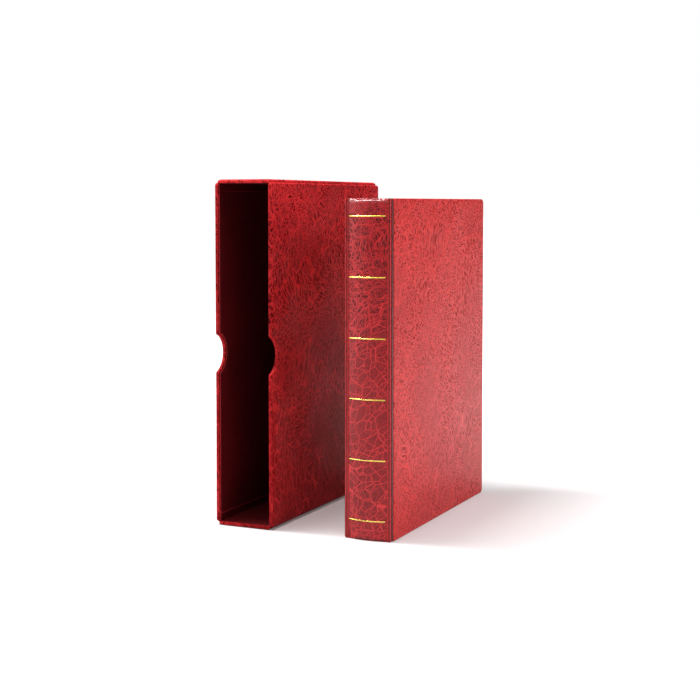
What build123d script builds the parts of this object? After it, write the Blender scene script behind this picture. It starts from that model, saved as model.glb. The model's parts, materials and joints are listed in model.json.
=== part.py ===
"""Ring binder with slipcase, in millimetres.

X runs across, Y runs from the open mouth and the spine towards the back, Z is up.
The origin is on the surface that both stand on, in the middle of the pair.
The slipcase stands on the left, and the closed binder stands upright on its right.
"""
from build123d import *
from math import asin, degrees, sqrt
import os

# Binder, outside sizes
binder_thickness = 48.0
binder_depth = 242.0        # from the spine's edges to the fore edge
binder_height = 310.0

# Room in the slipcase round the binder
side_room = 5.8             # both sides together
head_room = 10.8
back_room = 2.4

# Slipcase walls
leatherette = 0.6
slip_board = 2.4
slip_lining = 0.6
slip_edge_step = 3.0        # the narrow panels stand this far proud of the side panels' edges
slip_corner_radius = 3.0
side_edge_round = 1.8
narrow_edge_round = 2.6
mouth_turn_in = 3.0         # leatherette turned in round the mouth and the notches
lining_flange = 7.0         # how far a corner lining turns onto the side walls

# Thumb notches
notch_radius = 18.3
notch_depth = 13.0
notch_entry_round = 2.5

# Where the binder stands
stand_gap = 71.0            # free space between the slipcase and the binder
spine_setback = 6.0         # from the mouth's plane to the spine's edges

# Binder covers
cover_padding = 0.8
cover_board = 1.8
cover_lining = 0.4
fore_corner_radius = 5.0
hinge_corner_radius = 3.0
least_corner_radius = 0.4   # of the layers inside
cover_edge_round = 1.3
inner_edge_round = 0.5
cover_turn_in = 3.0         # leatherette welded round the inner face's edge

# Spine
spine_crown = 4.0           # how far the middle bulges out
spine_board = 2.2
spine_lining = 0.4
spine_bed = 0.4             # padding left under the crown at the spine's edges
spine_edge_round = 1.2

# Welded hinges between the spine and the covers
hinge_width = 4.5           # on the spine's face
hinge_return = 3.0          # along the cover
hinge_foil = 1.2            # two foils welded together
hinge_recess = 0.6          # how deep the groove lies below the cover's face
hinge_clearance = 0.05
weld_ridge = 0.3
hinge_end_round = 2.5

# Ring mechanism, across the spine and up from its lining
housing_width = 21.0
housing_length = 276.0
housing_side = 2.6          # height of the upright sides
housing_rise = 5.6          # height of the arched back
housing_steel = 0.8
housing_lip = 1.6
blade_steel = 1.0
blade_floor = 1.0           # underside of the closed blades above the lining
blade_gap = 0.1             # between the two blades, and beside the housing
blade_edge_clearance = 0.05

# Rings
ring_count = 4
ring_pitch = 80.0
ring_wire = 3.0
ring_inner_radius = 12.5
ring_foot_inset = 2.5       # from the housing's side to a ring's foot
ring_foot_height = 3.6      # where a ring's foot turns into its arc, above the lining
ring_foot_radius = 1.3
ring_foot_below = 0.15      # how far a foot is peened through under its blade
ring_slot_clearance = 0.4
ring_slot_reach = 5.0       # inner end of the slots in the housing
ring_tip_gap = 0.05
tip_pin_radius = 0.7
tip_pin_length = 0.9
tip_pin_taper = 0.3
tip_clearance = 0.1

# End levers
lever_steel = 1.2
lever_pivot_inset = 4.0     # pivot from the housing's end
lever_pivot_height = 1.9
lever_barrel_radius = 1.3
lever_barrel_inset = 4.5    # from the housing's outside to the barrel's end
lever_pin_radius = 0.6
lever_pin_clearance = 0.05
lever_nose_reach = 4.0
lever_nose_width = 3.0
lever_nose_steel = 0.7
lever_nose_floor = 0.15
lever_arm_width = 8.0
lever_tab_width = 14.0
lever_tab_corner = 3.5
lever_knee = (1.0, 4.2)     # past the housing's end, above the lining
lever_tip = (6.5, 13.0)
blade_end_inset = 6.0       # blades stop short of the housing's end

# Rivets that hold the mechanism to the spine board
rivet_inset = 11.0
rivet_shank_radius = 1.8
rivet_head_radius = 3.5
rivet_head_height = 1.2
rivet_washer_steel = 0.4
rivet_clearance = 0.5       # round the shank, between the blades

# Sizes that follow
slip_wall = leatherette + slip_board + slip_lining
slip_width = binder_thickness + side_room + 2 * slip_wall
slip_depth = binder_depth + back_room + slip_wall
slip_height = binder_height + head_room + 2 * slip_wall
cover_thickness = leatherette + cover_padding + cover_board + cover_lining
spine_base = spine_bed + spine_board + spine_lining
spine_width = binder_thickness - 2 * hinge_width
total_width = slip_width + stand_gap + binder_thickness
total_depth = max(slip_depth, spine_setback + binder_depth)

slip_left = -total_width / 2
slip_right = slip_left + slip_width
slip_middle = (slip_left + slip_right) / 2
mouth = -total_depth / 2
slip_back = mouth + slip_depth
cavity_left = slip_left + slip_wall
cavity_right = slip_right - slip_wall
cavity_back = slip_back - slip_wall
cavity_floor = slip_wall
cavity_roof = slip_height - slip_wall

binder_right = total_width / 2
binder_left = binder_right - binder_thickness
spine_middle = (binder_left + binder_right) / 2
spine_edge = mouth + spine_setback
spine_seat = spine_edge + spine_base
fore_edge = spine_edge + binder_depth
hinge_reach = binder_thickness / 2 - hinge_recess - hinge_foil / 2
hinge_line = spine_edge + hinge_foil / 2
ring_radius = ring_inner_radius + ring_wire / 2
ring_foot_reach = housing_width / 2 - housing_steel - ring_foot_inset
ring_centre = ring_foot_height + sqrt(ring_radius * ring_radius - ring_foot_reach * ring_foot_reach)
lever_barrel_length = housing_width - 2 * lever_barrel_inset


def block(x0, x1, y0, y1, z0, z1):
    """A box between two corners."""
    middle = Pos((x0 + x1) / 2, (y0 + y1) / 2, (z0 + z1) / 2)
    return middle * Box(x1 - x0, y1 - y0, z1 - z0)


def upright(outline, x0, x1):
    """An outline drawn in depth and height, made as thick as x0 to x1."""
    return extrude(Plane.YZ.offset(x0) * outline, amount=x1 - x0)


def rod(radius, x0, x1, y, z):
    """A cylinder that lies across."""
    return Pos((x0 + x1) / 2, y, z) * Rot(0, 90, 0) * Cylinder(radius, x1 - x0)


def to_right_side(piece):
    """The slipcase's left half repeated on the right."""
    return mirror(piece, Plane.YZ.offset(slip_middle))


def to_back_cover(piece):
    """The front cover's pieces repeated on the back cover."""
    return mirror(piece, Plane.YZ.offset(spine_middle))


# Slipcase

def notch_circle(margin):
    """The thumb notch's circle, larger by a margin."""
    middle = Pos(mouth + notch_depth - notch_radius, slip_height / 2)
    return middle * Circle(notch_radius + margin)


def side_outline(inset):
    """A side panel's outline with its thumb notch, drawn in by an inset."""
    low = slip_edge_step + inset
    high = slip_height - slip_edge_step - inset
    front = mouth + inset
    back = slip_back - slip_edge_step - inset
    centre = Pos((front + back) / 2, (low + high) / 2)
    plate = centre * RectangleRounded(back - front, high - low, slip_corner_radius - inset)
    cut = plate - notch_circle(inset)
    entry = [v for v in cut.vertices()
             if abs(v.X - front) < leatherette / 2 and abs(v.Y - slip_height / 2) < notch_radius]
    return fillet(entry, notch_entry_round - inset)


def lining_shell():
    """The whole inner layer of the slipcase, open at the mouth, notches cut back."""
    outer = block(cavity_left - slip_lining, cavity_right + slip_lining,
                  mouth + mouth_turn_in, cavity_back + slip_lining,
                  cavity_floor - slip_lining, cavity_roof + slip_lining)
    cavity = block(cavity_left, cavity_right, mouth, cavity_back, cavity_floor, cavity_roof)
    notches = upright(notch_circle(mouth_turn_in), slip_left, slip_right)
    return outer - cavity - notches


def slipcase_linings(shell):
    """The inner layer, parted along its welds: three caps with flanges and two side sheets."""
    seam_low = cavity_floor + lining_flange
    seam_high = cavity_roof - lining_flange
    seam_back = cavity_back - lining_flange
    wide = (slip_left, slip_right)
    parts = {}
    parts["slipcase_bottom_lining"] = shell & block(*wide, mouth, slip_back, 0, seam_low)
    parts["slipcase_top_lining"] = shell & block(*wide, mouth, slip_back, seam_high, slip_height)
    parts["slipcase_back_lining"] = shell & block(*wide, seam_back, slip_back, seam_low, seam_high)
    left = shell & block(slip_left, slip_middle, mouth, seam_back, seam_low, seam_high)
    parts["slipcase_left_lining"] = left
    parts["slipcase_right_lining"] = to_right_side(left)
    return parts


def rounded_plate(plate, outside, radius):
    """A plate with the edges of its outer face rounded."""
    return fillet(plate.faces().sort_by(outside)[-1].edges(), radius)


def side_panel():
    """The left side panel: the whole panel and the board inside it."""
    outward = Axis((0, 0, 0), (-1, 0, 0))
    panel = upright(side_outline(0), slip_left, cavity_left)
    board_start = slip_left + leatherette
    board = upright(side_outline(leatherette), board_start, board_start + slip_board)
    panel = rounded_plate(panel, outward, side_edge_round)
    board = rounded_plate(board, outward, side_edge_round - leatherette)
    return panel, board


def narrow_panel(x, y, z, outward, board_cut):
    """A top, bottom or back panel, and the board that fills it but for its leatherette."""
    panel = rounded_plate(block(*x, *y, *z), outward, narrow_edge_round)
    board = rounded_plate(block(*board_cut), outward, narrow_edge_round - leatherette)
    return panel, board


def narrow_panels():
    """The top, bottom and back panels."""
    x = (cavity_left, cavity_right)
    y = (mouth, cavity_back)
    board_x = (cavity_left + leatherette, cavity_right - leatherette)
    board_y = (mouth + leatherette, cavity_back - leatherette)
    back_z = (slip_edge_step, slip_height - slip_edge_step)
    board_back_z = (back_z[0] + leatherette, back_z[1] - leatherette)
    floor_top = leatherette + slip_board
    roof_low = slip_height - floor_top
    roof_top = slip_height - leatherette
    back_front = slip_back - floor_top
    return {
        "bottom": narrow_panel(x, y, (0, cavity_floor), Axis((0, 0, 0), (0, 0, -1)),
                               (*board_x, *board_y, leatherette, floor_top)),
        "top": narrow_panel(x, y, (cavity_roof, slip_height), Axis.Z,
                            (*board_x, *board_y, roof_low, roof_top)),
        "back": narrow_panel(x, (cavity_back, slip_back), back_z, Axis.Y,
                             (*board_x, back_front, slip_back - leatherette, *board_back_z)),
    }


def slipcase():
    """Five wrapped boards, welded at their edges, and the lining inside."""
    shell = lining_shell()
    parts = slipcase_linings(shell)
    panel, board = side_panel()
    skin = panel - board - shell
    parts["slipcase_left_board"] = board
    parts["slipcase_left_skin"] = skin
    parts["slipcase_right_board"] = to_right_side(board)
    parts["slipcase_right_skin"] = to_right_side(skin)
    for side, (panel, board) in narrow_panels().items():
        parts[f"slipcase_{side}_board"] = board
        parts[f"slipcase_{side}_skin"] = panel - board - shell
    return parts


# Binder covers

def cover_outline(inset):
    """A cover's outline, drawn in by an inset."""
    front = spine_edge + hinge_return + inset
    back = fore_edge - inset
    centre = Pos((front + back) / 2, binder_height / 2)
    plate = centre * Rectangle(back - front, binder_height - 2 * inset)
    sides = plate.vertices().group_by(Axis.X)
    plate = fillet(sides[-1], fore_corner_radius - inset)
    sides = plate.vertices().group_by(Axis.X)
    return fillet(sides[0], max(hinge_corner_radius - inset, least_corner_radius))


def cover_flange():
    """The cover's own strip of welded foil, up to the bead that it turns round."""
    x = spine_middle + hinge_reach
    front = spine_edge + hinge_foil + hinge_clearance
    back = spine_edge + hinge_return + leatherette
    return block(x - hinge_foil / 2, x + hinge_foil / 2, front, back,
                 hinge_end_round, binder_height - hinge_end_round)


def front_cover():
    """The front cover: leatherette round padding and board, with a lining welded inside."""
    inside = binder_right - cover_thickness
    board_x = (inside + cover_lining, inside + cover_lining + cover_board)
    padding_x = (board_x[1], board_x[1] + cover_padding)
    inner_outline = cover_outline(leatherette)
    panel = upright(cover_outline(0), inside, binder_right)
    panel = rounded_plate(panel, Axis.X, cover_edge_round)
    panel = rounded_plate(panel, Axis((0, 0, 0), (-1, 0, 0)), inner_edge_round)
    board = upright(inner_outline, *board_x)
    padding = rounded_plate(upright(inner_outline, *padding_x), Axis.X, cover_edge_round - leatherette)
    lining = upright(cover_outline(cover_turn_in), inside, board_x[0])
    skin = panel - board - padding - lining + cover_flange()
    return {"board": board, "padding": padding, "lining": lining, "skin": skin}


# Spine

def spine_radius():
    """Radius of the spine's crowned face."""
    half = spine_width / 2
    return (half * half + spine_crown * spine_crown) / (2 * spine_crown)


def crown_section(inset):
    """The spine's section under its crowned face, drawn in by an inset."""
    radius = spine_radius()
    disc = Pos(spine_middle, spine_edge - spine_crown + radius) * Circle(radius - inset)
    half = spine_width / 2 - inset
    depth = spine_crown + spine_base
    window = Pos(spine_middle, spine_seat - depth / 2) * Rectangle(2 * half, depth)
    return disc & window


def full_height(section, inset):
    """A section as tall as the spine, less an inset at both ends."""
    return extrude(Pos(0, 0, inset) * section, amount=binder_height - 2 * inset)


def rivet_points():
    """Heights of the two rivets, from the mechanism's middle."""
    height = housing_length / 2 - rivet_inset
    return (-height, height)


def spine():
    """The spine: leatherette over a crowned padding, its board, and its lining."""
    half = spine_width / 2 - leatherette
    left = spine_middle - half
    right = spine_middle + half
    low = leatherette
    high = binder_height - leatherette
    board_y = (spine_seat - spine_lining - spine_board, spine_seat - spine_lining)
    outside = full_height(crown_section(0), 0)
    outside = fillet(outside.edges().filter_by(GeomType.CIRCLE), spine_edge_round)
    board = block(left, right, *board_y, low, high)
    lining = block(left, right, board_y[1], spine_seat, low, high)
    padding = full_height(crown_section(leatherette), leatherette)
    padding = padding - block(left, right, board_y[0], spine_seat, low, high)
    padding = fillet(padding.edges().filter_by(GeomType.CIRCLE), spine_edge_round - leatherette)
    skin = outside - padding - board - lining
    holes = in_binder(at_rivets(rivet_shank()))
    washers = in_binder(at_rivets(rivet_washer()))
    return {"board": board - holes, "lining": lining - holes,
            "padding": padding - washers, "skin": skin}


def hinge_strip():
    """The front hinge: two foils welded together, with a ridge beside each weld, and its bead."""
    near = spine_middle + spine_width / 2
    far = spine_middle + hinge_reach
    strip = block(near, far, spine_edge, spine_edge + hinge_foil, 0, binder_height)
    bead = Pos(far, hinge_line, binder_height / 2) * Cylinder(hinge_foil / 2, binder_height)
    strip = strip + bead
    corner = block(far + hinge_foil / 2 - hinge_end_round, far + hinge_foil,
                   spine_edge - hinge_foil, spine_edge + 2 * hinge_foil, 0, hinge_end_round)
    rounding = Pos(far + hinge_foil / 2 - hinge_end_round, spine_edge, hinge_end_round)
    corner = corner - rounding * Rot(90, 0, 0) * Cylinder(hinge_end_round, 6 * hinge_foil)
    strip = strip - corner - mirror(corner, Plane.XY.offset(binder_height / 2))
    ridge_height = binder_height - 2 * hinge_end_round
    for x in (near + weld_ridge, far - hinge_foil / 2):
        ridge = Pos(x, spine_edge, binder_height / 2) * Cylinder(weld_ridge, ridge_height)
        strip = strip + ridge
    return strip


# Ring mechanism, drawn about its own middle: X across, Y up from the lining, Z along

def in_binder(piece):
    """A piece of the mechanism, put in its place on the spine's lining."""
    return Pos(spine_middle, spine_seat, binder_height / 2) * piece


def housing_section(inset):
    """The housing's outline: upright sides under an arched back."""
    half = housing_width / 2 - inset
    side = housing_side - inset
    rise = housing_rise - inset
    outline = [Line((-half, 0), (-half, side)),
               ThreePointArc((-half, side), (0, rise), (half, side)),
               Line((half, side), (half, 0)),
               Line((half, 0), (-half, 0))]
    return make_face(outline)


def ring_heights():
    """Heights of the rings, from the mechanism's middle."""
    first = -(ring_count - 1) * ring_pitch / 2
    return [first + number * ring_pitch for number in range(ring_count)]


def upstanding(radius, low, high, x=0.0):
    """A cylinder that stands on the spine, between two heights above its lining."""
    return Pos(x, (low + high) / 2, 0) * Rot(90, 0, 0) * Cylinder(radius, high - low)


def at_rivets(piece):
    """A piece repeated at both rivets."""
    return Compound([Pos(0, 0, z) * piece for z in rivet_points()])


def rivet_shank():
    """A rivet's shank, from the outside of the spine board to the housing's back."""
    return upstanding(rivet_shank_radius, -spine_lining - spine_board, housing_rise)


def rivet_washer():
    """The clinched washer on the outside of the spine board."""
    top = -spine_lining - spine_board
    return upstanding(rivet_head_radius, top - rivet_washer_steel, top)


def rivets():
    """Two rivets: domed head, shank and clinched washer, each one solid."""
    head_low = housing_rise - rivet_head_height / 2
    head = upstanding(rivet_head_radius, head_low, head_low + rivet_head_height)
    head = fillet(head.faces().sort_by(Axis.Y)[-1].edges(), rivet_head_height / 2)
    head = head - extrude(housing_section(0), amount=housing_length / 2, both=True)
    return at_rivets(head + rivet_shank() + rivet_washer())


def housing():
    """The arched steel housing, with its lips, ring slots, rivet holes and pin holes."""
    half = housing_width / 2
    inner_half = half - housing_steel
    shell = housing_section(0) - housing_section(housing_steel)
    floor = Rectangle(2 * inner_half, 2 * housing_steel)
    mouth_gap = Rectangle(2 * (inner_half - housing_lip), 2 * housing_steel)
    floor = (floor - mouth_gap) & Pos(0, housing_steel / 2) * Rectangle(housing_width, housing_steel)
    body = extrude(shell + floor, amount=housing_length / 2, both=True)
    slot_height = ring_wire + 2 * ring_slot_clearance
    for z in ring_heights():
        for side in (-1, 1):
            x = side * (ring_slot_reach + half / 2)
            slot = Box(half, 2 * housing_rise, slot_height)
            body = body - Pos(x, blade_floor + blade_steel + housing_rise, z) * slot
    body = body - at_rivets(rivet_shank())
    for z in lever_pivots():
        body = body - rod(lever_pin_radius, -housing_width, housing_width, lever_pivot_height, z)
    return body


def blade_pivot():
    """Where a blade turns: beside the housing's side and half up its own thickness."""
    reach = housing_width / 2 - housing_steel - blade_edge_clearance - blade_steel / 2
    return reach, blade_floor + blade_steel / 2


def left_blade():
    """The left hinged blade, rounded at the edge it turns on, with its ring holes."""
    reach, height = blade_pivot()
    half_length = housing_length / 2 - blade_end_inset
    plate = block(-reach, -blade_gap / 2, blade_floor, blade_floor + blade_steel,
                  -half_length, half_length)
    edge = Pos(-reach, height, 0) * Cylinder(blade_steel / 2, 2 * half_length)
    blade = plate + edge
    relief = upstanding(rivet_shank_radius + rivet_clearance, 0, housing_rise)
    foot_hole = upstanding(ring_foot_radius, 0, housing_rise, -ring_foot_reach)
    blade = blade - at_rivets(relief)
    return blade - Compound([Pos(0, 0, z) * foot_hole for z in ring_heights()])


def tip_cone(extra):
    """The pointed pin at a ring's tip, or its socket when enlarged."""
    length = tip_pin_length + extra
    cone = Cone(tip_pin_radius + extra, tip_pin_radius - tip_pin_taper + extra, length)
    return Pos(length / 2, ring_centre + ring_radius, 0) * Rot(0, 90, 0) * cone


def half_rings(side):
    """The half rings on one blade: side is -1 on the left and 1 on the right."""
    start = degrees(ring_tip_gap / 2 / ring_radius)
    turn = 180 - degrees(asin(ring_foot_reach / ring_radius)) - start
    wire = Plane.YZ * Pos(ring_radius, 0) * Circle(ring_wire / 2)
    arc = Pos(0, ring_centre, 0) * Rot(0, 0, start) * revolve(wire, axis=Axis.Z, revolution_arc=turn)
    foot = upstanding(ring_foot_radius, blade_floor - ring_foot_below, ring_foot_height, -ring_foot_reach)
    shape = arc + foot
    if side < 0:
        shape = shape + Pos(-ring_tip_gap, 0, 0) * tip_cone(0)
    else:
        shape = mirror(shape, Plane.YZ) - tip_cone(tip_clearance)
    return Compound([Pos(0, 0, z) * shape for z in ring_heights()])


def lever_pivots():
    """Heights of the two levers' pivots, from the mechanism's middle."""
    height = housing_length / 2 - lever_pivot_inset
    return (-height, height)


def upper_lever():
    """The upper opening lever: nose under the blades, barrel on its pin, arm and thumb tab."""
    side_view = Plane(origin=(0, 0, housing_length / 2), x_dir=(0, 0, 1), z_dir=(-1, 0, 0))
    pivot = (-lever_pivot_inset, lever_pivot_height)
    nose_tip = -lever_pivot_inset - lever_nose_reach
    nose_top = lever_nose_floor + lever_nose_steel
    arm = trace(Polyline(pivot, lever_knee), lever_steel)
    tab = trace(Polyline(lever_knee, lever_tip), lever_steel)
    knee = Pos(*lever_knee) * Circle(lever_steel / 2)
    arm = extrude(side_view * (arm + knee), amount=lever_arm_width / 2, both=True)
    tab = extrude(side_view * (tab + knee), amount=lever_tab_width / 2, both=True)
    corners = tab.edges().filter_by(lambda e: abs(e.length - lever_steel) < lever_steel / 10)
    tab = fillet(corners.sort_by(Axis.Y)[-2:], lever_tab_corner)
    z_end = housing_length / 2
    nose = block(-lever_nose_width / 2, lever_nose_width / 2, lever_nose_floor, nose_top,
                 z_end + nose_tip, z_end - lever_pivot_inset)
    barrel_half = lever_barrel_length / 2
    barrel = rod(lever_barrel_radius, -barrel_half, barrel_half, lever_pivot_height,
                 z_end - lever_pivot_inset)
    bore = rod(lever_pin_radius + lever_pin_clearance, -housing_width, housing_width,
               lever_pivot_height, z_end - lever_pivot_inset)
    return arm + tab + nose + barrel - bore


def lever_pins():
    """The two pins that the levers turn on, held in the housing's sides."""
    half = housing_width / 2
    return Compound([rod(lever_pin_radius, -half, half, lever_pivot_height, z)
                     for z in lever_pivots()])


def mechanism():
    """The ring mechanism's pieces, on the spine."""
    lever = upper_lever()
    blade = left_blade()
    parts = {
        "ring_housing": housing(),
        "left_ring_blade": blade,
        "right_ring_blade": mirror(blade, Plane.YZ),
        "left_half_rings": half_rings(-1),
        "right_half_rings": half_rings(1),
        "upper_ring_lever": lever,
        "lower_ring_lever": mirror(lever, Plane.XY),
        "lever_pins": lever_pins(),
        "housing_rivets": rivets(),
    }
    return {name: in_binder(piece) for name, piece in parts.items()}


def binder():
    """The binder: two covers, the spine between its hinges, and the ring mechanism."""
    parts = {}
    for name, piece in front_cover().items():
        parts[f"front_cover_{name}"] = piece
        parts[f"back_cover_{name}"] = to_back_cover(piece)
    for name, piece in spine().items():
        parts[f"spine_{name}"] = piece
    strip = hinge_strip()
    parts["front_hinge_strip"] = strip
    parts["back_hinge_strip"] = to_back_cover(strip)
    parts.update(mechanism())
    return parts


def main():
    """Write one file for each piece."""
    os.makedirs("parts", exist_ok=True)
    for name, piece in {**slipcase(), **binder()}.items():
        export_step(piece, f"parts/{name}.step")


main()
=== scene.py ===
"""Looks of the ring binder with slipcase: grained leatherette, smooth lining, gold lines and steel rings."""
import json
import math
import bpy
import bmesh
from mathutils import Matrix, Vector

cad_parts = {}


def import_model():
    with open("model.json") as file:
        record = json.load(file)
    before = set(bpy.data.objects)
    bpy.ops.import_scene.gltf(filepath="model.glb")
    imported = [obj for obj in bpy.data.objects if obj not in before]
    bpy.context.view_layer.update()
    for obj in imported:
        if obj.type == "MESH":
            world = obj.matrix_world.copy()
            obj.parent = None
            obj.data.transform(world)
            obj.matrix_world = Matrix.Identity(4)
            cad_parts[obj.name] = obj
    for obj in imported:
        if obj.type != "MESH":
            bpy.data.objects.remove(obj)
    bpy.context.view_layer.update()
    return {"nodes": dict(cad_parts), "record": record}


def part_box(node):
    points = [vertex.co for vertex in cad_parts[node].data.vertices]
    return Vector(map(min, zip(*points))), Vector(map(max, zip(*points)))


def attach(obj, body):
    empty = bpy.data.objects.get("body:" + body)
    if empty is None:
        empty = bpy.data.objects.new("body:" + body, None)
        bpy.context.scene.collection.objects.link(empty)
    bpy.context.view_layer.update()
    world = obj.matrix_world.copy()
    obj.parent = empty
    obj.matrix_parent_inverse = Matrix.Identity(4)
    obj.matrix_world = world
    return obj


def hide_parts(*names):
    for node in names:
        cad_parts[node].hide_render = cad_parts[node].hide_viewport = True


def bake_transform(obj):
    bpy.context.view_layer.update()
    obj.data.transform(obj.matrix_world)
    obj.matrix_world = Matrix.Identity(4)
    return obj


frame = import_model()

# Sizes in metres, as the construction has them
MM = 0.001
SPINE_LOW, SPINE_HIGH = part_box("spine_skin")
SPINE_MIDDLE = (SPINE_LOW[0] + SPINE_HIGH[0]) / 2
SPINE_TOP = SPINE_HIGH[2]
SPINE_FRONT = SPINE_LOW[1]
SPINE_HALF = (SPINE_HIGH[0] - SPINE_LOW[0]) / 2
SPINE_CROWN = 4.0 * MM
SPINE_EDGE = SPINE_FRONT + SPINE_CROWN
CROWN_RADIUS = (SPINE_HALF ** 2 + SPINE_CROWN ** 2) / (2 * SPINE_CROWN)

GOLD_LINES = 6
GOLD_PITCH = 55.2 * MM
GOLD_FIRST = 18.2 * MM          # height of the lowest line
GOLD_WIDTH = 1.0 * MM
GOLD_LEFT = 19.3 * MM           # from the spine's middle to the line's left end
GOLD_RIGHT = 17.3 * MM          # and to its right end
GOLD_FOIL = 0.08 * MM           # thickness of the foil
GOLD_POINTS = 49                # along each arc
GOLD_SHADE_ACROSS = (SPINE_MIDDLE + 1.0 * MM, SPINE_MIDDLE + 8.0 * MM)   # painted shade: the gold darkens to the right here, in place of a darker reflection
GOLD_SHADE_UP = (0.08, 0.14)     # and more above these heights

HINGE_START = SPINE_HALF - 0.5 * MM     # from the spine's middle
HINGE_REACH = 22.8 * MM         # from the spine's middle to the fold
HINGE_FOIL = 1.2 * MM
HINGE_RETURN = 3.35 * MM        # how far the strip goes back at the cover
HINGE_END_ROUND = 2.5 * MM
HINGE_COVER = 0.08 * MM         # how far the leatherette hinge lies over the foil
HINGE_STEPS = 30                # points across the strip
HINGE_BEND_STEPS = 8            # points round its bend
HINGE_ROWS = 90                 # rows up the strip
HINGE_END_ROWS = (0.04, 0.12, 0.25, 0.45, 0.7)      # more rows, as shares of the rounded end
RIDGE_HEIGHT = 0.6 * MM
RIDGE_HALF_WIDTH = 0.7 * MM
RIDGE_AT_SPINE = SPINE_HALF - 0.1 * MM + RIDGE_HALF_WIDTH / 2
RIDGE_AT_COVER = HINGE_REACH - 0.7 * MM

RIM_LENGTH = 0.9 * MM           # flat rim left at the spine's ends
RIM_ROUND = 2.2 * MM            # the crown rolls down to the rim over this length
RIM_SHARE = 0.28                # of the crown, left at the rim
RIM_STEPS = 9                   # cuts over the rolled length

WELD_RADIUS = 0.34 * MM
WELD_END = 1.2 * MM             # from the lining's flange to the end of the weld at the mouth
NOTCH_CENTRE = (-129.3 * MM, 164.0 * MM)    # depth and height
NOTCH_WELD_RADIUS = 21.3 * MM
NOTCH_STEPS = 24                # along the weld round a notch

MERGE = 1e-6                    # points nearer than this are one
THIN = 1e-7                     # edges shorter than this go

# Grain: cells in a metre, half the width of a raised line, and a cell's length for its width
FINE_GRAIN = (370.0, 0.42 * MM, 2.6)
MIDDLE_GRAIN = (170.0, 0.55 * MM, 3.0)
LONG_VEINS = (105.0, 0.5 * MM, 4.5)
WIDE_VEINS = (60.0, 0.55 * MM, 3.5)
SWIRL_SCALE, SWIRL_REACH = 13.0, 85.0 * MM
SHIVER_SCALE, SHIVER_REACH = 260.0, 1.6 * MM
VEIN_SWIRL = 0.45               # share of the swirl that the long veins follow
FULL_GRAIN = (0.10, 0.25)       # the fine grain grows to its full strength between these heights
RIM_SHINE = (SPINE_TOP - 4.2 * MM, SPINE_TOP - 2.8 * MM)    # the rim's shine grows between these

# Patches of each grain: cells in a metre, the noise values between which a patch grows, and a shift
FINE_PATCHES = (19.0, 0.38, 0.6, (4.1, 0.7, 2.3))
MIDDLE_PATCHES = (15.0, 0.4, 0.6, (1.1, 5.7, 3.3))
LONG_PATCHES = (12.0, 0.36, 0.55, (2.9, 1.7, 6.3))

FLOOR_REACH = 30.0              # half the floor's width
GLOW_REACH = (0.2, 0.8)         # the floor whitens between these distances from the middle
WORLD_LIGHT = 0.1               # strength of the grey that the world gives

# Soft lights: name, place, point they face, size, and watts
LIGHTS = (
    ("overhead", (0.1, -0.3, 1.7), (0.0, 0.0, 0.1), (1.5, 1.5), 24.0),
    ("top_strip", (-0.50, -0.15, 1.5), (0.06, -0.12, 0.31), (0.22, 0.9), 28.0),
    ("key_right", (1.9, 0.15, 1.05), (0.0, 0.0, 0.15), (1.2, 1.2), 18.5),
    ("front_left", (-1.55, -1.0, 0.7), (0.0, 0.0, 0.15), (0.6, 1.2), 9.0),
)

CAMERA_PLACE = (0.5725, -1.2444, 0.3051)
CAMERA_TURN = math.radians(24.97)       # to the left
CAMERA_TILT = math.radians(3.0)         # down
CAMERA_LENS = 70.69                     # millimetres, on a sensor 36 wide
CAMERA_SHIFT = -0.1059


# Node helpers

def new_material(name):
    """A material, its node tree, and the Principled shader on its output."""
    material = bpy.data.materials.new(name)
    material.use_nodes = True
    tree = material.node_tree
    tree.nodes.clear()
    output = tree.nodes.new("ShaderNodeOutputMaterial")
    shader = tree.nodes.new("ShaderNodeBsdfPrincipled")
    tree.links.new(shader.outputs[0], output.inputs["Surface"])
    return material, tree, shader


def feed(tree, made, socket, value):
    """Give a node's input a link from another node's output, or a plain value."""
    target = made.inputs[socket]
    if isinstance(value, bpy.types.NodeSocket):
        tree.links.new(value, target)
    elif value is not None:
        target.default_value = value


def node(tree, kind, inputs=(), **settings):
    """A node with its settings and inputs."""
    made = tree.nodes.new(kind)
    for name, value in settings.items():
        setattr(made, name, value)
    for socket, value in dict(inputs).items():
        feed(tree, made, socket, value)
    return made


def maths(tree, operation, a, b=None, c=None):
    """One sum, as an output socket."""
    return node(tree, "ShaderNodeMath", {0: a, 1: b, 2: c}, operation=operation).outputs[0]


def added(tree, a, b):
    """Two vectors added."""
    return node(tree, "ShaderNodeVectorMath", {0: a, 1: b}, operation="ADD").outputs[0]


def scaled(tree, vector, factor):
    """A vector made longer or shorter."""
    return node(tree, "ShaderNodeVectorMath", {0: vector, 3: factor}, operation="SCALE").outputs[0]


def along(tree, vector, axis):
    """One part of a vector: X, Y or Z."""
    return node(tree, "ShaderNodeSeparateXYZ", {"Vector": vector}).outputs[axis]


def object_place(tree):
    """The place on the piece, in metres in the shared frame."""
    return node(tree, "ShaderNodeTexCoord").outputs["Object"]


def spread(tree, value, low, high, to_low=0.0, to_high=1.0, smooth=True):
    """A value mapped from one range to another, clamped."""
    made = node(tree, "ShaderNodeMapRange",
                {"Value": value, "From Min": low, "From Max": high, "To Min": to_low, "To Max": to_high},
                interpolation_type="SMOOTHSTEP" if smooth else "LINEAR")
    return made.outputs["Result"]


def noise(tree, vector, scale, detail=3.0, roughness=0.5):
    """Smooth noise, as its value and its colour."""
    made = node(tree, "ShaderNodeTexNoise",
                {"Vector": vector, "Scale": scale, "Detail": detail, "Roughness": roughness})
    return made.outputs[0], made.outputs[1]


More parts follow.
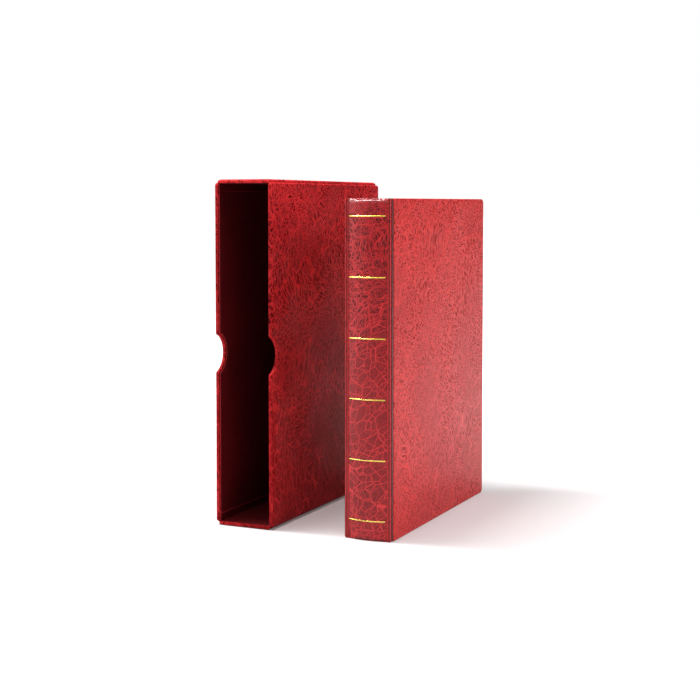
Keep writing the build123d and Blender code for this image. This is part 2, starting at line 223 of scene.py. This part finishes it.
def placed(tree, vector, turn=(0, 0, 0), stretch=(1, 1, 1), shift=(0, 0, 0)):
    """Coordinates shifted, turned and then stretched, so that a pattern runs along the turned axes."""
    made = node(tree, "ShaderNodeMapping", {"Vector": vector, "Location": shift, "Scale": stretch},
                vector_type="TEXTURE")
    made.inputs["Rotation"].default_value = [math.radians(a) for a in turn]
    return made.outputs[0]


def blend_colour(tree, amount, a, b):
    """A mix of two colours."""
    made = node(tree, "ShaderNodeMix", data_type="RGBA")
    feed(tree, made, 0, amount)
    feed(tree, made, 6, a)
    feed(tree, made, 7, b)
    return made.outputs[2]


def wrinkles(tree, vector, grain, turn, line_width=1.0):
    """Raised lines between long cells, and how deep a place lies inside a cell."""
    scale, half_width, length = grain
    cells = node(tree, "ShaderNodeTexVoronoi",
                 {"Vector": placed(tree, vector, turn, (1, 1, length)), "Scale": scale, "Randomness": 1.0},
                 feature="DISTANCE_TO_EDGE")
    lines = spread(tree, cells.outputs["Distance"], 0.0, half_width * line_width * scale, 1.0, 0.0)
    inside = spread(tree, cells.outputs["Distance"], 0.08, 0.27)
    return lines, inside


def patches(tree, vector, scale, low, high, shift):
    """Soft patches: 0 below a noise value and 1 above another."""
    return spread(tree, noise(tree, placed(tree, vector, shift=shift), scale, 2.0)[0], low, high)


def patchy(tree, value, patch, gain, base):
    """A value times a base, and times more inside its patches."""
    return maths(tree, "MULTIPLY", value, maths(tree, "MULTIPLY_ADD", patch, gain, base))


def relief(tree, shader, strength, depth, height):
    """Small relief on a shader."""
    made = node(tree, "ShaderNodeBump", {"Strength": strength, "Distance": depth, "Height": height})
    feed(tree, shader, "Normal", made.outputs[0])


def show(tree, surface):
    """Put another surface on a material's output."""
    output = next(n for n in tree.nodes if n.bl_idname == "ShaderNodeOutputMaterial")
    tree.links.new(surface, output.inputs["Surface"])


# Materials

def leatherette(name, lean, sweep, shift, ground, bright, pit, long_lines=1.0, shine_level=0.3,
                line_width=1.0, low_grain=0.5, weld=False, rims=False):
    """Red grained leatherette: short wrinkles that flow in swirls, pits between them, and long thin veins.

    lean and sweep turn the wrinkles and the veins, in degrees; low_grain is the fine grain's share low down.
    """
    material, tree, shader = new_material(name)
    height = along(tree, object_place(tree), "Z")
    where = placed(tree, object_place(tree), shift=shift)
    swirl = noise(tree, where, SWIRL_SCALE, 1.5)[1]
    swirl = scaled(tree, added(tree, swirl, (-0.5, -0.5, -0.5)), SWIRL_REACH)
    shiver = scaled(tree, noise(tree, where, SHIVER_SCALE, 1.0)[1], SHIVER_REACH)
    bent = added(tree, added(tree, where, swirl), shiver)
    calm = added(tree, where, scaled(tree, swirl, VEIN_SWIRL))
    uneven_height = maths(tree, "ADD", along(tree, swirl, "Z"), height)
    upper = spread(tree, uneven_height, *FULL_GRAIN, low_grain, 1.0)

    fine, fine_inside = wrinkles(tree, bent, FINE_GRAIN, (lean, lean, 0), line_width)
    middle = wrinkles(tree, bent, MIDDLE_GRAIN, (lean + 12, lean - 10, 0), line_width)[0]
    long = wrinkles(tree, calm, LONG_VEINS, (-sweep, sweep, 0))[0]
    wide = wrinkles(tree, calm, WIDE_VEINS, (-sweep - 22, sweep + 22, 0))[0]
    long = maths(tree, "MAXIMUM", long, wide)
    fine_part = patches(tree, where, *FINE_PATCHES)
    middle_part = patches(tree, where, *MIDDLE_PATCHES)
    long_part = patches(tree, where, *LONG_PATCHES)
    fine = maths(tree, "MULTIPLY", patchy(tree, fine, fine_part, 0.35, 0.65), upper)
    middle = patchy(tree, middle, middle_part, 0.75, 0.25)
    long = patchy(tree, long, long_part, 0.75 * long_lines, 0.25)
    ridges = maths(tree, "MAXIMUM", maths(tree, "MAXIMUM", fine, middle), long)
    pits = patchy(tree, fine_inside, fine_part, 0.4, 0.6)
    speckle = noise(tree, where, 1300.0, 2.0)[0]
    pits = maths(tree, "MULTIPLY", pits, spread(tree, speckle, 0.3, 0.6, 0.6, 1.0))
    pits = maths(tree, "MULTIPLY", pits, upper)

    cloud = noise(tree, where, 9.0, 3.0)[0]
    between = [0.5 * a + 0.5 * b for a, b in zip(ground, bright)]
    colour = blend_colour(tree, spread(tree, cloud, 0.3, 0.7, 0.0, 0.35), (*ground, 1), (*between, 1))
    colour = blend_colour(tree, maths(tree, "MULTIPLY", pits, 0.85), colour, (*pit, 1))
    colour = blend_colour(tree, maths(tree, "MULTIPLY", ridges, 0.9), colour, (*bright, 1))
    if weld:
        painted_light = node(tree, "ShaderNodeAttribute", attribute_name="weld_painted_light").outputs["Fac"]
        # painted shade: the colour darkens towards near black in the hinge's bend and groove
        colour = blend_colour(tree, painted_light, (*[0.35 * c for c in pit], 1), colour)
        # painted highlight: the weld ridges turn towards the bright red
        colour = blend_colour(tree, spread(tree, painted_light, 0.65, 0.95, 0.0, 0.8), colour, (*bright, 1))
    feed(tree, shader, "Base Color", colour)

    shine = spread(tree, pits, 0.0, 1.0, 0.34, 0.66, smooth=False)
    shine = maths(tree, "SUBTRACT", shine, maths(tree, "MULTIPLY", ridges, 0.05))
    if rims:
        rolled = spread(tree, height, *RIM_SHINE)
        shine = maths(tree, "SUBTRACT", shine, maths(tree, "MULTIPLY", rolled, 0.16))
        shine_level = maths(tree, "MULTIPLY_ADD", rolled, 1.0 - shine_level, shine_level)
    feed(tree, shader, "Roughness", shine)
    feed(tree, shader, "Specular IOR Level", shine_level)
    raised = maths(tree, "ADD", ridges, maths(tree, "MULTIPLY", pits, -0.8))
    raised = maths(tree, "ADD", raised, maths(tree, "MULTIPLY", speckle, 0.1))
    relief(tree, shader, 0.6, 0.16 * MM, raised)
    return material


def smooth_lining(name, colour, edge):
    """Smooth dark foil with a faint print of the board behind it."""
    material, tree, shader = new_material(name)
    where = object_place(tree)
    fibre = noise(tree, placed(tree, where, stretch=(1, 1, 2)), 420.0, 4.0)[0]
    cloud = noise(tree, where, 14.0, 3.0)[0]
    feed(tree, shader, "Base Color", blend_colour(tree, spread(tree, cloud, 0.3, 0.7), colour, edge))
    feed(tree, shader, "Roughness", spread(tree, fibre, 0.3, 0.7, 0.42, 0.55))
    feed(tree, shader, "Specular IOR Level", 0.35)
    relief(tree, shader, 0.2, 0.05 * MM, fibre)
    return material


def plated_steel(name, colour, roughness):
    """Nickel-plated steel with faint drawn lines along its length."""
    material, tree, shader = new_material(name)
    where = object_place(tree)
    lines = noise(tree, placed(tree, where, stretch=(1, 1, 25)), 2600.0, 2.0)[0]
    smudge = noise(tree, where, 90.0, 3.0)[0]
    feed(tree, shader, "Base Color", blend_colour(tree, spread(tree, smudge, 0.3, 0.7, 0.0, 0.35), colour,
                                                  (0.52, 0.50, 0.47, 1)))
    feed(tree, shader, "Metallic", 1.0)
    feed(tree, shader, "Roughness", spread(tree, lines, 0.3, 0.7, roughness, roughness + 0.12))
    relief(tree, shader, 0.08, 0.02 * MM, lines)
    return material


def gold_foil():
    """Stamped gold foil, with painted shade that darkens the right of the upper lines in place of a darker
    reflection.
    """
    material, tree, shader = new_material("gold_foil")
    where = object_place(tree)
    grain = noise(tree, where, 900.0, 3.0)[0]
    right = spread(tree, along(tree, where, "X"), *GOLD_SHADE_ACROSS)
    high = spread(tree, along(tree, where, "Z"), *GOLD_SHADE_UP, 0.35, 1.0)
    colour = blend_colour(tree, spread(tree, grain, 0.35, 0.75), (1.0, 0.82, 0.22, 1), (0.86, 0.62, 0.10, 1))
    # painted shade: the gold's colour goes towards dark brown at the right of the upper lines, standing in for
    # a darker reflection
    painted_shade = maths(tree, "MULTIPLY", maths(tree, "MULTIPLY", right, high), 0.8)
    feed(tree, shader, "Base Color", blend_colour(tree, painted_shade, colour, (0.40, 0.30, 0.03, 1)))
    feed(tree, shader, "Metallic", 1.0)
    feed(tree, shader, "Roughness", spread(tree, grain, 0.3, 0.7, 0.12, 0.24))
    return material


def greyboard():
    """Pressed board with short fibres."""
    material, tree, shader = new_material("greyboard")
    where = object_place(tree)
    fibres = noise(tree, placed(tree, where, stretch=(1, 3, 1)), 700.0, 5.0)[0]
    feed(tree, shader, "Base Color", blend_colour(tree, spread(tree, fibres, 0.3, 0.7), (0.36, 0.33, 0.29, 1),
                                                  (0.5, 0.47, 0.42, 1)))
    feed(tree, shader, "Roughness", 0.92)
    return material


def thin_foam():
    """Thin closed-cell padding."""
    material, tree, shader = new_material("thin_foam")
    where = object_place(tree)
    cells = node(tree, "ShaderNodeTexVoronoi", {"Vector": where, "Scale": 1600.0}).outputs["Distance"]
    feed(tree, shader, "Base Color", blend_colour(tree, cells, (0.78, 0.76, 0.70, 1), (0.6, 0.58, 0.52, 1)))
    feed(tree, shader, "Roughness", 0.95)
    relief(tree, shader, 0.4, 0.1 * MM, cells)
    return material


# Mesh helpers

def keep_mesh(name, mesh, material):
    """An object at the origin with one material."""
    piece = bpy.data.objects.new(name, mesh)
    bpy.context.scene.collection.objects.link(piece)
    mesh.materials.clear()
    mesh.materials.append(material)
    return piece


def smooth_by_angle(mesh, degrees=32.0):
    """Smooth shading that keeps the edges sharper than an angle."""
    shaped = bmesh.new()
    shaped.from_mesh(mesh)
    bmesh.ops.remove_doubles(shaped, verts=shaped.verts, dist=MERGE)
    bmesh.ops.dissolve_degenerate(shaped, edges=shaped.edges, dist=THIN)
    limit = math.radians(degrees)
    for face in shaped.faces:
        face.smooth = True
    for edge in shaped.edges:
        faces = edge.link_faces
        edge.smooth = len(faces) == 2 and faces[0].normal.angle(faces[1].normal, 0.0) < limit
    shaped.to_mesh(mesh)
    shaped.free()


def roll_ends(mesh):
    """Bring the spine's crown down to a flat rim at both ends."""
    shaped = bmesh.new()
    shaped.from_mesh(mesh)
    bmesh.ops.remove_doubles(shaped, verts=shaped.verts, dist=MERGE)
    steps = [RIM_LENGTH * 0.97]
    steps += [RIM_LENGTH + RIM_ROUND * step / RIM_STEPS for step in range(RIM_STEPS + 1)]
    for end in steps:
        for z in (end, SPINE_TOP - end):
            whole = shaped.verts[:] + shaped.edges[:] + shaped.faces[:]
            bmesh.ops.bisect_plane(shaped, geom=whole, dist=THIN, plane_co=(0, 0, z), plane_no=(0, 0, 1))
    for vertex in shaped.verts:
        end = min(vertex.co.z, SPINE_TOP - vertex.co.z)
        proud = SPINE_EDGE - vertex.co.y
        if proud > 0 and end < RIM_LENGTH + RIM_ROUND:
            up = min(max((end - RIM_LENGTH) / RIM_ROUND, 0.0), 1.0)
            share = RIM_SHARE + (1 - RIM_SHARE) * math.sqrt(1 - (1 - up) ** 2)
            vertex.co.y = SPINE_EDGE - proud * share
    shaped.to_mesh(mesh)
    shaped.free()


def refined(source, material):
    """A merged, smoothly shaded copy that stands for a node of the construction."""
    mesh = frame["nodes"][source].data.copy()
    if source in ("spine_skin", "spine_padding"):
        roll_ends(mesh)
    smooth_by_angle(mesh)
    piece = keep_mesh(f"{source}_finish", mesh, material)
    for body, nodes in frame["record"]["behaviour"]["bodies"].items():
        if source in nodes:
            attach(piece, body)
    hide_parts(source)


def plain_result(holder, name, material):
    """The mesh that an object's modifiers make, as a plain object; the modifiers go."""
    graph = bpy.context.evaluated_depsgraph_get()
    mesh = bpy.data.meshes.new_from_object(holder.evaluated_get(graph))
    holder.modifiers.clear()
    bpy.data.objects.remove(holder)
    return keep_mesh(name, mesh, material)


def geometry_tree(name, sizes):
    """A node tree with named size inputs and one geometry output."""
    tree = bpy.data.node_groups.new(name, "GeometryNodeTree")
    for label, kind in sizes:
        tree.interface.new_socket(label, in_out="INPUT", socket_type=kind)
    tree.interface.new_socket("Geometry", in_out="OUTPUT", socket_type="NodeSocketGeometry")
    source = tree.nodes.new("NodeGroupInput")
    sink = tree.nodes.new("NodeGroupOutput")
    return tree, source, sink


def run_tree(tree, name, values, material):
    """Run a tree on an empty mesh with the given sizes."""
    holder = bpy.data.objects.new(name + "_holder", bpy.data.meshes.new(name + "_holder"))
    bpy.context.scene.collection.objects.link(holder)
    modifier = holder.modifiers.new("build", "NODES")
    modifier.node_group = tree
    for socket in tree.interface.items_tree:
        if socket.in_out == "INPUT" and socket.name in values:
            modifier[socket.identifier] = values[socket.name]
    return plain_result(holder, name, material)


# Gold lines across the spine

def gold_line_tree(material):
    """One arc of foil bent round the spine's crown, repeated up the spine."""
    lengths = ("Pitch", "First Height", "Line Width", "Foil", "Crown Radius", "Start Angle", "Sweep Angle")
    sizes = [("Count", "NodeSocketInt")] + [(label, "NodeSocketFloat") for label in lengths]
    sizes.append(("Crown Centre", "NodeSocketVector"))
    tree, source, sink = geometry_tree("gold_lines", sizes)
    size = source.outputs
    arc = node(tree, "GeometryNodeCurveArc", mode="RADIUS")
    feed(tree, arc, "Resolution", GOLD_POINTS)
    feed(tree, arc, "Radius", size["Crown Radius"])
    feed(tree, arc, "Start Angle", size["Start Angle"])
    feed(tree, arc, "Sweep Angle", size["Sweep Angle"])
    section = node(tree, "GeometryNodeCurvePrimitiveQuadrilateral")
    feed(tree, section, "Width", size["Foil"])
    feed(tree, section, "Height", size["Line Width"])
    ribbon = node(tree, "GeometryNodeCurveToMesh",
                  {"Curve": arc.outputs["Curve"], "Profile Curve": section.outputs[0], "Fill Caps": True})
    line = node(tree, "GeometryNodeMeshLine", mode="OFFSET")
    feed(tree, line, "Count", size["Count"])
    rise = node(tree, "ShaderNodeCombineXYZ", {"Z": size["Pitch"]})
    base = node(tree, "ShaderNodeCombineXYZ", {"Z": size["First Height"]})
    feed(tree, line, "Start Location", added(tree, size["Crown Centre"], base.outputs[0]))
    feed(tree, line, "Offset", rise.outputs[0])
    copies = node(tree, "GeometryNodeInstanceOnPoints",
                  {"Points": line.outputs[0], "Instance": ribbon.outputs[0]})
    real = node(tree, "GeometryNodeRealizeInstances", {"Geometry": copies.outputs[0]})
    dressed = node(tree, "GeometryNodeSetMaterial", {"Geometry": real.outputs[0]})
    dressed.inputs["Material"].default_value = material
    tree.links.new(dressed.outputs[0], sink.inputs[0])
    return tree


def gold_lines(material):
    """The six gold lines stamped across the spine."""
    left, right = math.asin(GOLD_LEFT / CROWN_RADIUS), math.asin(GOLD_RIGHT / CROWN_RADIUS)
    values = {
        "Count": GOLD_LINES, "Pitch": GOLD_PITCH, "First Height": GOLD_FIRST,
        "Line Width": GOLD_WIDTH, "Foil": GOLD_FOIL, "Crown Radius": CROWN_RADIUS + GOLD_FOIL / 4,
        "Start Angle": -math.pi / 2 - left, "Sweep Angle": left + right,
        "Crown Centre": (SPINE_MIDDLE, SPINE_FRONT + CROWN_RADIUS, 0.0),
    }
    piece = run_tree(gold_line_tree(material), "spine_gold_lines", values, material)
    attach(piece, "spine")


# Welded hinges

def ridge(u, middle):
    """Height of a weld ridge at a place across the hinge."""
    reach = abs(u - middle) / RIDGE_HALF_WIDTH
    return RIDGE_HEIGHT * 0.5 * (1 + math.cos(math.pi * reach)) if reach < 1 else 0.0


def hinge_profile():
    """The hinge's closed section: across from the spine's middle, back from its edge, and its painted light.

    The painted light runs from 0, deep painted shade in the groove, to 1, a painted highlight on a ridge.
    """
    section = []
    for step in range(HINGE_STEPS + 1):
        u = HINGE_START + (HINGE_REACH - HINGE_START) * step / HINGE_STEPS
        lift = ridge(u, RIDGE_AT_SPINE) + ridge(u, RIDGE_AT_COVER)
        section.append((u, -HINGE_COVER - lift, 0.45 + 0.55 * lift / RIDGE_HEIGHT))
    radius = HINGE_FOIL / 2 + HINGE_COVER
    # round the bend and back along the groove the painted shade deepens
    for step in range(1, HINGE_BEND_STEPS + 1):
        angle = math.radians(90 * step / HINGE_BEND_STEPS)
        section.append((HINGE_REACH + radius * math.sin(angle), HINGE_FOIL / 2 - radius * math.cos(angle), 0.2))
    section += [
        (HINGE_REACH + radius, 1.8 * MM, 0.1),
        (HINGE_REACH + radius, HINGE_RETURN, 0.0),
        (HINGE_REACH - radius, HINGE_RETURN, 0.0),
        (HINGE_REACH - radius, HINGE_FOIL + 2 * HINGE_COVER, 0.0),
        (HINGE_START, HINGE_FOIL + HINGE_COVER, 0.0),
    ]
    return section


def hinge_leather(name, side, material):
    """A strip of leatherette over a hinge: side is 1 at the front cover and -1 at the back cover."""
    section = hinge_profile()
    levels = [SPINE_TOP * row / HINGE_ROWS for row in range(HINGE_ROWS + 1)]
    extra = [HINGE_END_ROUND * share for share in HINGE_END_ROWS]
    levels = sorted(set(levels + extra + [SPINE_TOP - e for e in extra]))
    shaped = bmesh.new()
    # each point keeps its painted light: painted shade in the bend and groove, a painted highlight on the
    # ridges
    painted_light_layer = shaped.verts.layers.float.new("weld_painted_light")
    rings = []
    for z in levels:
        end = min(z, SPINE_TOP - z)
        drawn = 0.0
        if end < HINGE_END_ROUND:
            drawn = HINGE_END_ROUND - math.sqrt(HINGE_END_ROUND ** 2 - (HINGE_END_ROUND - end) ** 2)
        ring = []
        for u, back, painted_light in section:
            limit = HINGE_REACH + HINGE_FOIL / 2 + HINGE_COVER - drawn
            vertex = shaped.verts.new((SPINE_MIDDLE + side * min(u, limit), SPINE_EDGE + back, z))
            vertex[painted_light_layer] = painted_light
            ring.append(vertex)
        rings.append(ring)
    count = len(section)
    for low, high in zip(rings, rings[1:]):
        for i in range(count):
            j = (i + 1) % count
            shaped.faces.new((low[i], low[j], high[j], high[i]))
    shaped.faces.new(rings[0])
    shaped.faces.new(list(reversed(rings[-1])))
    bmesh.ops.recalc_face_normals(shaped, faces=shaped.faces)
    mesh = bpy.data.meshes.new(name)
    shaped.to_mesh(mesh)
    shaped.free()
    smooth_by_angle(mesh, 50.0)
    piece = keep_mesh(name, mesh, material)
    if side > 0:
        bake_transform(piece)
        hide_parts("front_hinge_strip")
    else:
        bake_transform(piece)
        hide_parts("back_hinge_strip")


# Welds in the slipcase's lining

def bead(name, paths, radius, material):
    """Round beads along open paths, as one mesh."""
    curve = bpy.data.curves.new(name, "CURVE")
    curve.dimensions = "3D"
    curve.bevel_depth = radius
    curve.bevel_resolution = 2
    curve.use_fill_caps = True
    for path in paths:
        spline = curve.splines.new("POLY")
        spline.points.add(len(path) - 1)
        for point, place in zip(spline.points, path):
            point.co = (*place, 1.0)
    holder = bpy.data.objects.new(name + "_path", curve)
    bpy.context.scene.collection.objects.link(holder)
    piece = plain_result(holder, name, material)
    smooth_by_angle(piece.data, 60.0)
    return piece


def lining_welds(material):
    """The raised welds on the side walls: along the lining's flanges, its mouth and its thumb notches."""
    low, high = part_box("slipcase_left_lining")
    right_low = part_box("slipcase_right_lining")[0]
    floor_top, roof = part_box("slipcase_bottom_lining")[0][2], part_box("slipcase_top_lining")[1][2]
    back, middle = NOTCH_CENTRE
    half = math.acos((low[1] - back) / NOTCH_WELD_RADIUS)
    front_line = [(low[1], floor_top + WELD_END)]
    for step in range(NOTCH_STEPS + 1):
        angle = -half + 2 * half * step / NOTCH_STEPS
        front_line.append((back + NOTCH_WELD_RADIUS * math.cos(angle),
                           middle + NOTCH_WELD_RADIUS * math.sin(angle)))
    front_line.append((low[1], roof - WELD_END))
    paths = []
    for x in (high[0], right_low[0]):
        for z in (low[2], high[2]):
            paths.append([(x, low[1], z), (x, high[1], z)])
        paths.append([(x, high[1], low[2]), (x, high[1], high[2])])
        paths.append([(x, y, z) for y, z in front_line])
    piece = bead("slipcase_lining_welds", paths, WELD_RADIUS, material)
    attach(piece, "slipcase")


# Stage, light and camera

def stage_material(name, colour, near_glow, far_glow):
    """A pale matt floor that glows for the camera, for reflections and for transmitted rays: painted light,
    white away from the pair and weaker near it.
    """
    material, tree, shader = new_material(name)
    feed(tree, shader, "Base Color", colour)
    feed(tree, shader, "Roughness", 0.9)
    feed(tree, shader, "Specular IOR Level", 0.1)
    where = object_place(tree)
    reach = node(tree, "ShaderNodeVectorMath", {0: where}, operation="LENGTH").outputs["Value"]
    glow = spread(tree, reach, *GLOW_REACH, near_glow, far_glow)
    path = node(tree, "ShaderNodeLightPath")
    seen = maths(tree, "MAXIMUM", path.outputs["Is Camera Ray"], path.outputs["Is Glossy Ray"])
    seen = maths(tree, "MAXIMUM", seen, path.outputs["Is Transmission Ray"])
    light = node(tree, "ShaderNodeEmission", {"Color": (1, 1, 1, 1)})
    feed(tree, light, "Strength", maths(tree, "MULTIPLY", seen, glow))
    both = node(tree, "ShaderNodeAddShader")
    tree.links.new(shader.outputs[0], both.inputs[0])
    tree.links.new(light.outputs[0], both.inputs[1])
    show(tree, both.outputs[0])
    return material


def floor():
    """A wide pale floor under the pair."""
    far = FLOOR_REACH
    mesh = bpy.data.meshes.new("floor")
    mesh.from_pydata([(-far, -far, 0), (far, -far, 0), (far, far, 0), (-far, far, 0)], [], [(0, 1, 2, 3)])
    piece = keep_mesh("floor", mesh, stage_material("floor_paper", (0.72, 0.70, 0.705, 1), 0.10, 1.1))


def dark_card():
    """A dark card behind the camera, for the spine and the gold to reflect; the camera doesn't see it."""
    material, tree, shader = new_material("dark_card")
    feed(tree, shader, "Base Color", (0.01, 0.01, 0.01, 1))
    feed(tree, shader, "Roughness", 0.9)
    clear = node(tree, "ShaderNodeBsdfTransparent")
    choice = node(tree, "ShaderNodeMixShader")
    feed(tree, choice, 0, node(tree, "ShaderNodeLightPath").outputs["Is Camera Ray"])
    tree.links.new(shader.outputs[0], choice.inputs[1])
    tree.links.new(clear.outputs[0], choice.inputs[2])
    show(tree, choice.outputs[0])
    left, right, tall = (-0.35, -1.8), (1.35, -1.3), 1.0
    mesh = bpy.data.meshes.new("dark_card")
    mesh.from_pydata([(*left, 0.0), (*right, 0.0), (*right, tall), (*left, tall)], [], [(0, 1, 2, 3)])
    keep_mesh("dark_card", mesh, material)


def soft_light(name, place, aim, size, power):
    """A white rectangular soft light that faces a point; its power is in watts."""
    data = bpy.data.lights.new(name, "AREA")
    data.shape = "RECTANGLE"
    data.size, data.size_y = size
    data.energy = power
    lamp = bpy.data.objects.new(name, data)
    bpy.context.scene.collection.objects.link(lamp)
    lamp.location = place
    lamp.rotation_euler = (Vector(aim) - Vector(place)).to_track_quat("-Z", "Y").to_euler()


def lights():
    """A large light overhead, a strip over the left, a key from the right, and one from the front left."""
    for name, place, aim, size, power in LIGHTS:
        soft_light(name, place, aim, size, power)


def world():
    """White all round for the camera, and a weak grey for the light and the reflections it gives."""
    made = bpy.data.worlds.new("studio")
    bpy.context.scene.world = made
    made.use_nodes = True
    tree = made.node_tree
    tree.nodes.clear()
    output = tree.nodes.new("ShaderNodeOutputWorld")
    seen = node(tree, "ShaderNodeLightPath").outputs["Is Camera Ray"]
    strength = spread(tree, seen, 0.0, 1.0, WORLD_LIGHT, 1.0, smooth=False)
    back = node(tree, "ShaderNodeBackground", {"Color": (1, 1, 1, 1), "Strength": strength})
    tree.links.new(back.outputs[0], output.inputs["Surface"])


def camera():
    """The photograph's view: from the front right, just under the top edges, looking slightly down."""
    data = bpy.data.cameras.new("view")
    data.sensor_width = 36.0
    data.lens = CAMERA_LENS
    data.shift_y = CAMERA_SHIFT
    data.clip_end = 100.0
    level = math.cos(CAMERA_TILT)
    ahead = Vector((-math.sin(CAMERA_TURN) * level, math.cos(CAMERA_TURN) * level, -math.sin(CAMERA_TILT)))
    eye = bpy.data.objects.new("view", data)
    bpy.context.scene.collection.objects.link(eye)
    eye.location = CAMERA_PLACE
    eye.rotation_euler = ahead.to_track_quat("-Z", "Y").to_euler()
    bpy.context.scene.camera = eye


# Making

def dress():
    """Give every node of the construction its finish."""
    reds = dict(bright=(0.74, 0.036, 0.04), pit=(0.06, 0.002, 0.004))
    # copies of one leatherette whose grounds differ as painted light and shade: lighter on the cover, darker on
    # the slipcase and the spine
    slip_leather = leatherette("slipcase_leatherette", -30, -28, (0.37, 0.11, 0.05), (0.15, 0.002, 0.004),
                               shine_level=0.02, low_grain=0.45, **reds)
    cover_leather = leatherette("cover_leatherette", 38, 30, (1.9, 0.4, 0.7), (0.44, 0.014, 0.015),
                                (0.80, 0.047, 0.044), (0.12, 0.003, 0.004), long_lines=0.8, low_grain=0.6,
                                shine_level=0.10)
    spine_leather = leatherette("spine_leatherette", 52, 48, (0.8, 2.2, 0.25), (0.18, 0.004, 0.007),
                                shine_level=0.28, line_width=0.62, low_grain=0.3, rims=True, **reds)
    # the hinge's copy gets painted shade in its groove and a painted highlight on its weld ridges
    hinge_red = leatherette("hinge_leatherette", 52, 48, (0.8, 2.2, 0.25), (0.4, 0.018, 0.022),
                            weld=True, **reds)
    leathers = {"slipcase": slip_leather, "spine": spine_leather}
    lining = smooth_lining("slipcase_foil", (0.085, 0.0015, 0.003, 1), (0.11, 0.002, 0.004, 1))
    inner = smooth_lining("cover_foil", (0.22, 0.006, 0.012, 1), (0.26, 0.009, 0.015, 1))
    weld_line = smooth_lining("weld_line_foil", (0.34, 0.012, 0.02, 1), (0.4, 0.02, 0.03, 1))
    steel = plated_steel("nickel_plate", (0.74, 0.72, 0.68, 1), 0.16)
    rivet = plated_steel("rivet_nickel", (0.68, 0.67, 0.65, 1), 0.3)
    by_slot = {"nickel_plated_steel": steel, "rivet_steel": rivet,
               "greyboard": greyboard(), "thin_foam": thin_foam()}
    gold = gold_foil()
    for entry in frame["record"]["subparts"]:
        name, slot = entry["node"], entry["material_slot"]
        if name.endswith("_strip"):
            continue                # the hinge leather takes its place
        if slot == "grained_leatherette":
            material = leathers.get(name.split("_")[0], cover_leather)
        elif slot == "smooth_lining":
            material = lining if name.startswith("slipcase") else inner
        else:
            material = by_slot[slot]
        if slot in ("greyboard", "thin_foam") and name != "spine_padding":
            shape = frame["nodes"][name]
            shape.data.materials.clear()
            shape.data.materials.append(material)
        else:
            refined(name, material)
    hinge_leather("front_hinge_leather", 1, hinge_red)
    hinge_leather("back_hinge_leather", -1, hinge_red)
    gold_lines(gold)
    lining_welds(weld_line)


camera()
dress()
floor()
dark_card()
lights()
world()
bpy.context.scene.view_settings.view_transform = "Standard"
